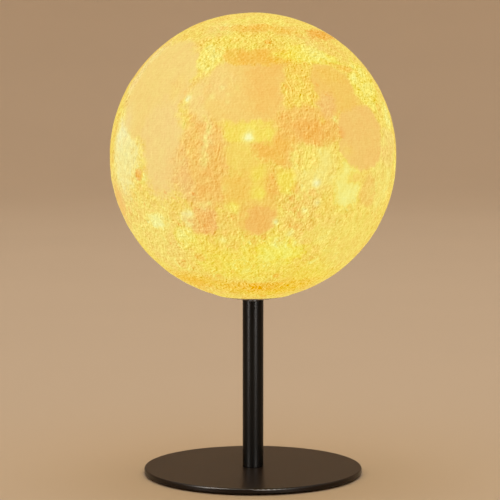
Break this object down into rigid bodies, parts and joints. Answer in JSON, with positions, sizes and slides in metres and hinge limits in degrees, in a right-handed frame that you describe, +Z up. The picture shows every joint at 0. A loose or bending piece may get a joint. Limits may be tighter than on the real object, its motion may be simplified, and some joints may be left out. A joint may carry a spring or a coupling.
{
  "type": "moon lamp",
  "caption": "Table lamp with a glowing moon globe that turns on a slim black post above a round black base plate.",
  "frame": {"origin": "on the table, at the centre of the round base and under the post's axis", "axes": "+Z up along the post, -Y to the front of the lamp, +X to its right"},
  "size_m": [0.15, 0.1499, 0.2425],
  "materials": {
    "black_powder_coat": "satin powder coat",
    "black_foam": "matte",
    "zinc_screw": "zinc plated",
    "turned_steel": "turned",
    "fibre_washer": "matte fibre",
    "lit_moon_print": "printed, lit from inside",
    "ivory_plastic": "fine matte",
    "white_acetal": "smooth",
    "white_plastic": "fine matte",
    "grey_silicone": "matte",
    "green_board": "solder mask",
    "black_chips": "moulded",
    "nickel_sleeve": "nickel plated",
    "clear_pin": "clear moulded",
    "blue_wrap": "shrink wrap",
    "lead_insulation": "satin",
    "white_board": "solder mask",
    "warm_chips": "gel filled",
    "milky_plastic": "milky",
    "black_plastic": "fine matte"
  },
  "bodies": {
    "stand": {"base_plate": "black_powder_coat", "base_pad": "black_foam", "base_screw": "zinc_screw", "post_tube": "black_powder_coat", "foot_plug": "turned_steel", "head_spigot": "turned_steel", "brake_washer": "fibre_washer", "top_washer": "zinc_screw", "top_screw": "zinc_screw"},
    "globe": {"moon_shell": "lit_moon_print", "bottom_cover": "ivory_plastic", "swivel_bush": "white_acetal", "module_housing": "white_plastic", "grip_ring": "grey_silicone", "cover_screws": "zinc_screw", "control_board": "green_board", "board_screws": "zinc_screw", "charge_circuit": "black_chips", "port_sleeve": "nickel_sleeve", "port_tongue": "black_chips", "power_switch": "black_chips", "charge_light_pin": "clear_pin", "battery_cell": "blue_wrap", "battery_leads": "lead_insulation", "led_board": "white_board", "led_chips": "warm_chips", "led_leads": "lead_insulation", "light_dome": "milky_plastic"},
    "button": {"switch_plunger": "ivory_plastic", "power_button": "black_plastic"}
  },
  "joints": [
    {"name": "globe_turn", "type": "hinge", "parent": "stand", "child": "globe", "pos_m": [0, 0, 0.1675], "axis": [0, 0, 1], "continuous": true},
    {"name": "power_button_press", "type": "slide", "parent": "globe", "child": "button", "axis": [0, 0, 1], "range_m": [0, 0.0005], "stiffness_N_per_m": 2500, "springref_m": -0.0002}
  ]
}
